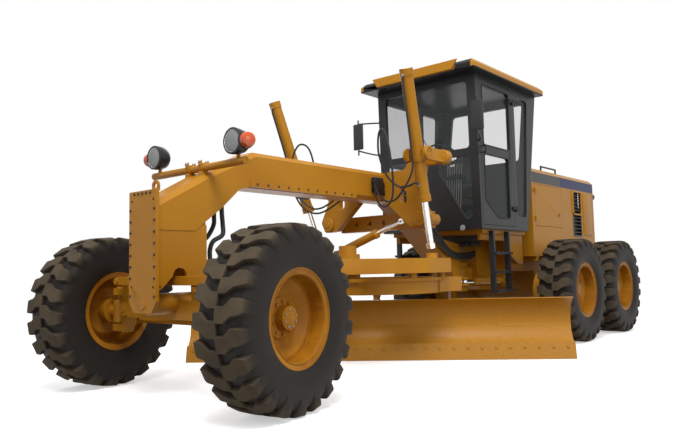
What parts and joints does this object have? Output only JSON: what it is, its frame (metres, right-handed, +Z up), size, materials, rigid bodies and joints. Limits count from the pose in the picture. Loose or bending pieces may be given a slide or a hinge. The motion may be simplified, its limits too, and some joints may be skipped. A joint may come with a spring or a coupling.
{
  "type": "motor grader",
  "caption": "Six-wheel articulated road grader with an angled blade under a drawbar and turning circle, leaning front wheels, tandem drive cases, a glazed cab and a rear engine hood.",
  "frame": {"origin": "on the ground under the middle of the bounding box", "axes": "+X forward along the machine, +Y to its left, +Z up"},
  "size_m": [8.8854, 3.5689, 3.475],
  "materials": {
    "paint": "satin",
    "black_paint": "satin",
    "rim": "satin",
    "tyre": "matt",
    "glass": "gloss",
    "trim": "matt",
    "lamp": "gloss",
    "hose": "matt",
    "chrome": "polished",
    "steel": "machined",
    "blade_steel": "worn satin"
  },
  "bodies": {
    "rear": {"rear_frame": "paint", "engine_hood": "paint", "engine_block": "black_paint", "grille_panels": "black_paint", "cab_shell": "black_paint", "cab_roof": "paint", "cab_glass": "glass", "operator_station": "trim", "mirrors": "black_paint", "ladders_and_rails": "black_paint", "rear_lamps": "lamp"},
    "front": {"front_frame": "paint", "lift_linkage": "paint", "head_lamps": "lamp", "hydraulic_hoses": "hose"},
    "axle": {"front_axle": "paint"},
    "lean_bar": {"lean_bar": "paint"},
    "tie_rod_ball": {"tie_rod_ball": "steel"},
    "tie_rod": {"tie_rod": "paint"},
    "drawbar_ball": {"drawbar_ball": "steel"},
    "drawbar": {"drawbar": "paint"},
    "circle": {"circle": "paint"},
    "blade_bracket": {"blade_bracket": "paint"},
    "blade": {"blade": "blade_steel"},
    "tandem_left": {"tandem_case_left": "paint"},
    "wheel_rear_left_fore": {"tyre_rear_left_fore": "tyre", "rim_rear_left_fore": "rim"},
    "wheel_rear_left_aft": {"tyre_rear_left_aft": "tyre", "rim_rear_left_aft": "rim"},
    "wheel_front_left": {"tyre_front_left": "tyre", "rim_front_left": "rim"},
    "lean_yoke_left": {"lean_yoke_left": "paint"},
    "knuckle_left": {"knuckle_left": "paint"},
    "cab_door_left": {"cab_door_left": "black_paint"},
    "hood_door_left": {"hood_door_left": "paint"},
    "tandem_right": {"tandem_case_right": "paint"},
    "wheel_rear_right_fore": {"tyre_rear_right_fore": "tyre", "rim_rear_right_fore": "rim"},
    "wheel_rear_right_aft": {"tyre_rear_right_aft": "tyre", "rim_rear_right_aft": "rim"},
    "wheel_front_right": {"tyre_front_right": "tyre", "rim_front_right": "rim"},
    "lean_yoke_right": {"lean_yoke_right": "paint"},
    "knuckle_right": {"knuckle_right": "paint"},
    "cab_door_right": {"cab_door_right": "black_paint"},
    "hood_door_right": {"hood_door_right": "paint"},
    "lean_barrel": {"lean_barrel": "paint"},
    "lean_rod": {"lean_rod": "chrome"},
    "tip_barrel": {"tip_barrel": "paint"},
    "tip_rod": {"tip_rod": "chrome"},
    "lift_left_barrel": {"lift_left_barrel": "paint"},
    "lift_left_rod": {"lift_left_rod": "chrome"},
    "lift_right_barrel": {"lift_right_barrel": "paint"},
    "lift_right_rod": {"lift_right_rod": "chrome"},
    "shift_barrel": {"shift_barrel": "paint"},
    "shift_rod": {"shift_rod": "chrome"},
    "articulation_left_barrel": {"articulation_left_barrel": "paint"},
    "articulation_left_rod": {"articulation_left_rod": "chrome"},
    "articulation_right_barrel": {"articulation_right_barrel": "paint"},
    "articulation_right_rod": {"articulation_right_rod": "chrome"}
  },
  "joints": [
    {"name": "articulation", "type": "hinge", "parent": "rear", "child": "front", "pos_m": [-0.6115, 0, 0.875], "axis": [0, 0, 1], "range_deg": [-20, 20]},
    {"name": "axle_swing", "type": "hinge", "parent": "front", "child": "axle", "pos_m": [3.7185, 0, 0.765], "axis": [1, 0, 0], "range_deg": [-15, 15]},
    {"name": "lean_left", "type": "hinge", "parent": "axle", "child": "lean_yoke_left", "pos_m": [3.7185, 0.74, 0.7], "axis": [1, 0, 0], "range_deg": [-17, 17]},
    {"name": "lean_right", "type": "hinge", "parent": "axle", "child": "lean_yoke_right", "pos_m": [3.7185, -0.74, 0.7], "axis": [1, 0, 0], "range_deg": [-17, 17]},
    {"name": "lean_bar_pin", "type": "hinge", "parent": "lean_yoke_left", "child": "lean_bar", "pos_m": [3.7185, 0.74, 0.945], "axis": [1, 0, 0], "range_deg": [-17, 17]},
    {"name": "lean_barrel_pin", "type": "hinge", "parent": "axle", "child": "lean_barrel", "pos_m": [3.6885, 0.19, 0.858], "axis": [1, 0, 0], "range_deg": [-0.0384, 0.0384]},
    {"name": "lean_rod_slide", "type": "slide", "parent": "lean_barrel", "child": "lean_rod", "axis": [0, 1, 0], "range_m": [-0.04645, 0.04645]},
    {"name": "steer_left", "type": "hinge", "parent": "lean_yoke_left", "child": "knuckle_left", "pos_m": [3.7185, 0.94, 0.675], "axis": [0, 0, 1], "range_deg": [-53, 37]},
    {"name": "steer_right", "type": "hinge", "parent": "lean_yoke_right", "child": "knuckle_right", "pos_m": [3.7185, -0.94, 0.675], "axis": [0, 0, 1], "range_deg": [-53, 37]},
    {"name": "tie_rod_turn", "type": "hinge", "parent": "knuckle_left", "child": "tie_rod_ball", "pos_m": [3.48579, 0.90729, 0.576], "axis": [0, 0, 1], "range_deg": [-37, 53]},
    {"name": "tie_rod_roll", "type": "hinge", "parent": "tie_rod_ball", "child": "tie_rod", "pos_m": [3.48579, 0.90729, 0.576], "axis": [1, 0, 0], "range_deg": [-13.38, 13.38]},
    {"name": "drawbar_yaw", "type": "hinge", "parent": "front", "child": "drawbar_ball", "pos_m": [3.4185, 0, 1.03], "axis": [0, 0, 1], "range_deg": [-6, 6]},
    {"name": "drawbar_pitch", "type": "hinge", "parent": "drawbar_ball", "child": "drawbar", "pos_m": [3.4185, 0, 1.03], "axis": [0, 1, 0], "range_deg": [-9, 7]},
    {"name": "circle_turn", "type": "hinge", "parent": "drawbar", "child": "circle", "pos_m": [1.1185, 0, 0.905], "axis": [0, 0, -1], "continuous": true},
    {"name": "blade_tip", "type": "hinge", "parent": "circle", "child": "blade_bracket", "pos_m": [0.85323, -0.19629, 0.23], "axis": [-0.5948, 0.8039, 0], "range_deg": [-5, 40]},
    {"name": "blade_slide", "type": "slide", "parent": "blade_bracket", "child": "blade", "axis": [-0.5948, 0.8039, 0], "range_m": [-0.5, 0.5]},
    {"name": "tip_barrel_pin", "type": "hinge", "parent": "circle", "child": "tip_barrel", "pos_m": [0.58795, -0.39258, 0.7], "axis": [-0.5948, 0.8039, 0], "range_deg": [-0.55, 4.43]},
    {"name": "tip_rod_slide", "type": "slide", "parent": "tip_barrel", "child": "tip_rod", "axis": [0.7626, 0.5643, -0.3162], "range_m": [-0.02899, 0.2319]},
    {"name": "lift_left_barrel_pin", "type": "hinge", "parent": "front", "child": "lift_left_barrel", "pos_m": [1.47217, 0.85752, 2.14913], "axis": [0, 1, 0], "range_deg": [-5.21, 4.05]},
    {"name": "lift_left_rod_slide", "type": "slide", "parent": "lift_left_barrel", "child": "lift_left_rod", "axis": [-0.3214, -0.0843, -0.9432], "range_m": [-0.26733, 0.34371]},
    {"name": "lift_right_barrel_pin", "type": "hinge", "parent": "front", "child": "lift_right_barrel", "pos_m": [1.47217, -0.85752, 2.14913], "axis": [0, 1, 0], "range_deg": [-5.21, 4.05]},
    {"name": "lift_right_rod_slide", "type": "slide", "parent": "lift_right_barrel", "child": "lift_right_rod", "axis": [-0.3214, 0.0843, -0.9432], "range_m": [-0.26733, 0.34371]},
    {"name": "shift_barrel_pin", "type": "hinge", "parent": "drawbar", "child": "shift_barrel", "pos_m": [1.2935, -0.39, 1.19], "axis": [1, 0, 0], "range_deg": [-14.11, 18.15]},
    {"name": "shift_rod_slide", "type": "slide", "parent": "shift_barrel", "child": "shift_rod", "axis": [0, 0.9444, 0.3289], "range_m": [-0.20965, 0.20965]},
    {"name": "articulation_left_barrel_pin", "type": "hinge", "parent": "rear", "child": "articulation_left_barrel", "pos_m": [-1.2315, 0.34, 0.82], "axis": [0, 0, 1], "range_deg": [-4.92, 4.92]},
    {"name": "articulation_left_rod_slide", "type": "slide", "parent": "articulation_left_barrel", "child": "articulation_left_rod", "axis": [0.9959, -0.0903, 0], "range_m": [-0.09809, 0.09809]},
    {"name": "articulation_right_barrel_pin", "type": "hinge", "parent": "rear", "child": "articulation_right_barrel", "pos_m": [-1.2315, -0.34, 0.82], "axis": [0, 0, 1], "range_deg": [-4.92, 4.92]},
    {"name": "articulation_right_rod_slide", "type": "slide", "parent": "articulation_right_barrel", "child": "articulation_right_rod", "axis": [0.9959, 0.0903, 0], "range_m": [-0.09809, 0.09809]},
    {"name": "tandem_left", "type": "hinge", "parent": "rear", "child": "tandem_left", "pos_m": [-2.4515, 0.68, 0.675], "axis": [0, 1, 0], "range_deg": [-15, 15]},
    {"name": "roll_rear_left_fore", "type": "hinge", "parent": "tandem_left", "child": "wheel_rear_left_fore", "pos_m": [-1.6865, 1.13, 0.675], "axis": [0, 1, 0], "continuous": true},
    {"name": "roll_rear_left_aft", "type": "hinge", "parent": "tandem_left", "child": "wheel_rear_left_aft", "pos_m": [-3.2165, 1.13, 0.675], "axis": [0, 1, 0], "continuous": true},
    {"name": "roll_front_left", "type": "hinge", "parent": "knuckle_left", "child": "wheel_front_left", "pos_m": [3.69206, 1.12815, 0.675], "axis": [-0.1392, 0.9903, 0], "continuous": true},
    {"name": "cab_door_left", "type": "hinge", "parent": "rear", "child": "cab_door_left", "pos_m": [-0.9215, 0.752, 2.4], "axis": [0, 0, 1], "range_deg": [0, 80]},
    {"name": "hood_door_left", "type": "hinge", "parent": "rear", "child": "hood_door_left", "pos_m": [-1.8135, 0.614, 1.86], "axis": [0, 0, -1], "range_deg": [0, 100]},
    {"name": "tandem_right", "type": "hinge", "parent": "rear", "child": "tandem_right", "pos_m": [-2.4515, -0.68, 0.675], "axis": [0, 1, 0], "range_deg": [-15, 15]},
    {"name": "roll_rear_right_fore", "type": "hinge", "parent": "tandem_right", "child": "wheel_rear_right_fore", "pos_m": [-1.6865, -1.13, 0.675], "axis": [0, 1, 0], "continuous": true},
    {"name": "roll_rear_right_aft", "type": "hinge", "parent": "tandem_right", "child": "wheel_rear_right_aft", "pos_m": [-3.2165, -1.13, 0.675], "axis": [0, 1, 0], "continuous": true},
    {"name": "roll_front_right", "type": "hinge", "parent": "knuckle_right", "child": "wheel_front_right", "pos_m": [3.74494, -1.12815, 0.675], "axis": [-0.1392, 0.9903, 0], "continuous": true},
    {"name": "cab_door_right", "type": "hinge", "parent": "rear", "child": "cab_door_right", "pos_m": [-0.9215, -0.752, 2.4], "axis": [0, 0, -1], "range_deg": [0, 80]},
    {"name": "hood_door_right", "type": "hinge", "parent": "rear", "child": "hood_door_right", "pos_m": [-1.8135, -0.614, 1.86], "axis": [0, 0, 1], "range_deg": [0, 100]}
  ],
  "couplings": [
    {"joint": "lean_right", "follows": "lean_left", "ratio": 1},
    {"joint": "lean_bar_pin", "follows": "lean_left", "ratio": -1},
    {"joint": "lean_barrel_pin", "follows": "lean_left", "ratio": -0.002261},
    {"joint": "lean_rod_slide", "follows": "lean_left", "m_per_rad": -0.15654},
    {"joint": "steer_right", "follows": "steer_left", "ratio": 1},
    {"joint": "tie_rod_turn", "follows": "steer_left", "ratio": -1},
    {"joint": "tie_rod_roll", "follows": "lean_left", "ratio": -0.78723},
    {"joint": "tip_barrel_pin", "follows": "blade_tip", "ratio": 0.11085},
    {"joint": "tip_rod_slide", "follows": "blade_tip", "m_per_rad": 0.33217},
    {"joint": "lift_left_barrel_pin", "follows": "drawbar_pitch", "ratio": 0.57852},
    {"joint": "lift_left_rod_slide", "follows": "drawbar_pitch", "m_per_rad": -2.1881},
    {"joint": "lift_right_barrel_pin", "follows": "drawbar_pitch", "ratio": 0.57852},
    {"joint": "lift_right_rod_slide", "follows": "drawbar_pitch", "m_per_rad": -2.1881},
    {"joint": "shift_barrel_pin", "follows": "drawbar_pitch", "ratio": -2.0163},
    {"joint": "shift_rod_slide", "follows": "drawbar_yaw", "m_per_rad": 2.002},
    {"joint": "articulation_left_barrel_pin", "follows": "articulation", "ratio": 0.24608},
    {"joint": "articulation_left_rod_slide", "follows": "articulation", "m_per_rad": -0.28101},
    {"joint": "articulation_right_barrel_pin", "follows": "articulation", "ratio": 0.24608},
    {"joint": "articulation_right_rod_slide", "follows": "articulation", "m_per_rad": 0.28101}
  ]
}
